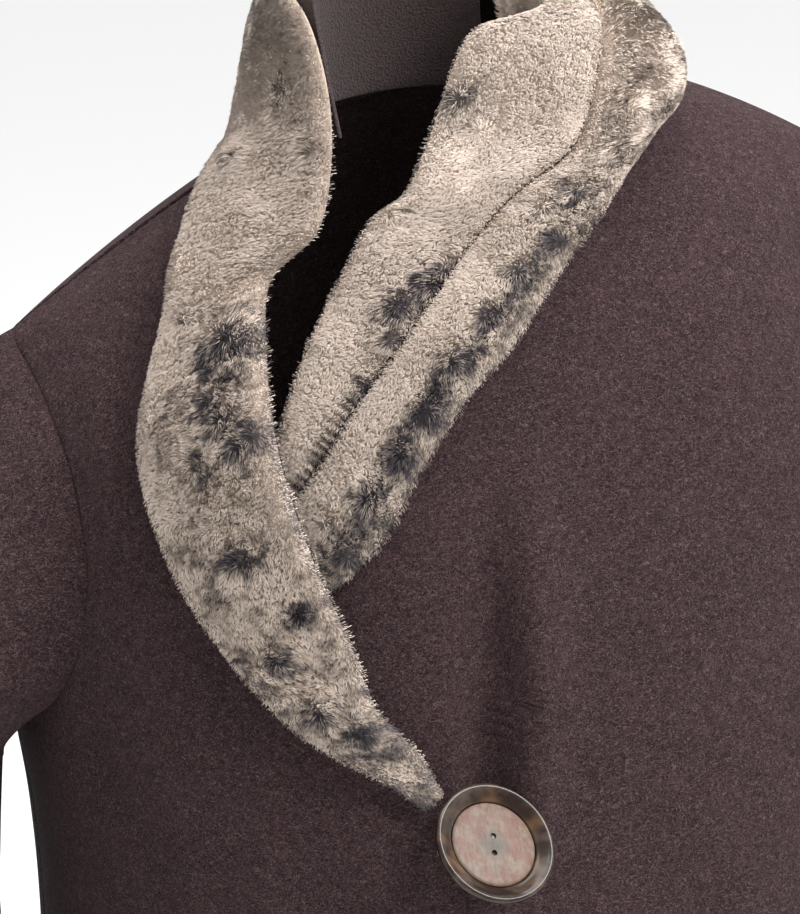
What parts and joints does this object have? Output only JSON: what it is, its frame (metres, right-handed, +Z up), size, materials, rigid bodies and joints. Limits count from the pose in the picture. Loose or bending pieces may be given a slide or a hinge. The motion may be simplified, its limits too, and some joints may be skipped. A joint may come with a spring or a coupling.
{
  "type": "oversized coat",
  "caption": "Oversized felted-wool coat in its worn shape, with a deep fur shawl collar that crosses at the front and closes low with one large dished button.",
  "frame": {"origin": "at the base of the neck, in the middle of the shoulder line, where a wearer or a stand holds the coat up", "axes": "+Z up, the front faces -Y, the wearer's left is +X"},
  "size_m": [0.83, 0.3982, 1.0585],
  "materials": {
    "wool": "felted wool cloth with a short brushed nap",
    "neck_cloth": "smooth dark cloth",
    "fur": "dense sheared pile, pale tips over slate roots",
    "horn": "polished dark horn look",
    "pearl": "polished mottled pearl look",
    "thread": "twisted thread"
  },
  "bodies": {
    "root": {"back": "wool", "front_left": "wool", "front_right": "wool", "sleeve_right": "wool", "sleeve_left": "wool", "collar_cloth_left": "wool", "collar_cloth_right": "wool", "fur_fall_left": "fur", "fur_inner_left": "fur", "fur_fall_right": "fur", "neck_band": "neck_cloth", "button_rim": "horn", "button_disc": "pearl", "button_shank": "thread", "button_loop": "thread"}
  },
  "joints": []
}
